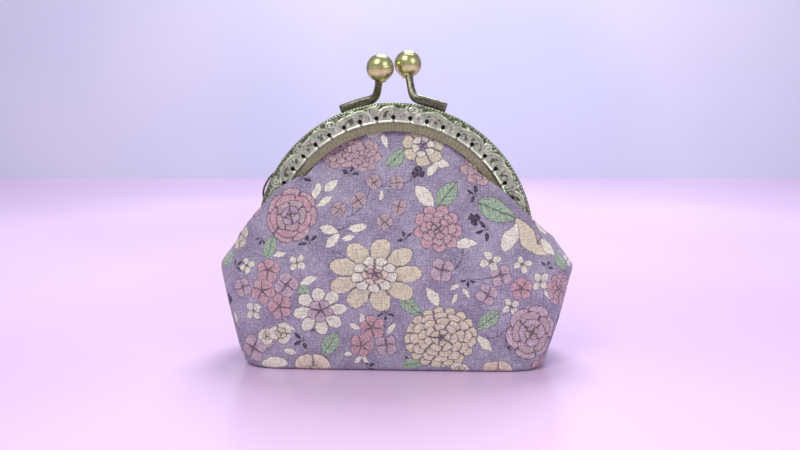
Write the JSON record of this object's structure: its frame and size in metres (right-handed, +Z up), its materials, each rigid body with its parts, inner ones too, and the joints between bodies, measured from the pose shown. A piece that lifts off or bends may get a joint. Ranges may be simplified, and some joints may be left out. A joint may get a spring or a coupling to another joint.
{
  "type": "coin purse",
  "caption": "Small boxed cloth coin purse on an arched kiss-lock metal frame whose two halves hinge open.",
  "frame": {"origin": "middle of the base, on the surface the purse stands on", "axes": "+X along the width, to the right as seen from the front; -Y is the front; +Z is up"},
  "size_m": [0.1112, 0.04, 0.0944],
  "materials": {
    "antique_brass": "embossed antique brass, darkened in the hollows",
    "polished_brass": "polished antique brass",
    "printed_cotton": "plain-weave cotton and linen with a printed floral pattern",
    "fleece": "iron-on fleece wadding",
    "lining_cotton": "plain cotton lining",
    "thread": "waxed sewing thread"
  },
  "bodies": {
    "bag": {"outer_front_wall": "printed_cotton", "outer_back_wall": "printed_cotton", "outer_base": "printed_cotton", "fleece_front_wall": "fleece", "fleece_back_wall": "fleece", "fleece_base": "fleece", "lining_front_wall": "lining_cotton", "lining_back_wall": "lining_cotton", "lining_base": "lining_cotton", "front_fold_band": "printed_cotton", "back_fold_band": "printed_cotton"},
    "front_frame": {"front_frame_half": "antique_brass", "front_clasp_arm": "antique_brass", "front_clasp_ball": "polished_brass", "front_stitching": "thread", "outer_front_upper": "printed_cotton", "fleece_front_upper": "fleece", "lining_front_upper": "lining_cotton"},
    "back_frame": {"back_frame_half": "antique_brass", "back_clasp_arm": "antique_brass", "back_clasp_ball": "polished_brass", "back_stitching": "thread", "strap_loop": "antique_brass", "right_hinge_rivet": "antique_brass", "left_hinge_rivet": "antique_brass", "outer_back_upper": "printed_cotton", "fleece_back_upper": "fleece", "lining_back_upper": "lining_cotton"}
  },
  "joints": [
    {"name": "front_open", "type": "hinge", "parent": "bag", "child": "front_frame", "pos_m": [0, 0, 0.036], "axis": [1, 0, 0], "range_deg": [0, 40], "deforming": ["front_fold_band"]},
    {"name": "back_open", "type": "hinge", "parent": "bag", "child": "back_frame", "pos_m": [0, 0, 0.036], "axis": [1, 0, 0], "range_deg": [-40, 0], "deforming": ["back_fold_band"]}
  ],
  "couplings": [
    {"joint": "back_open", "follows": "front_open", "ratio": -1}
  ]
}
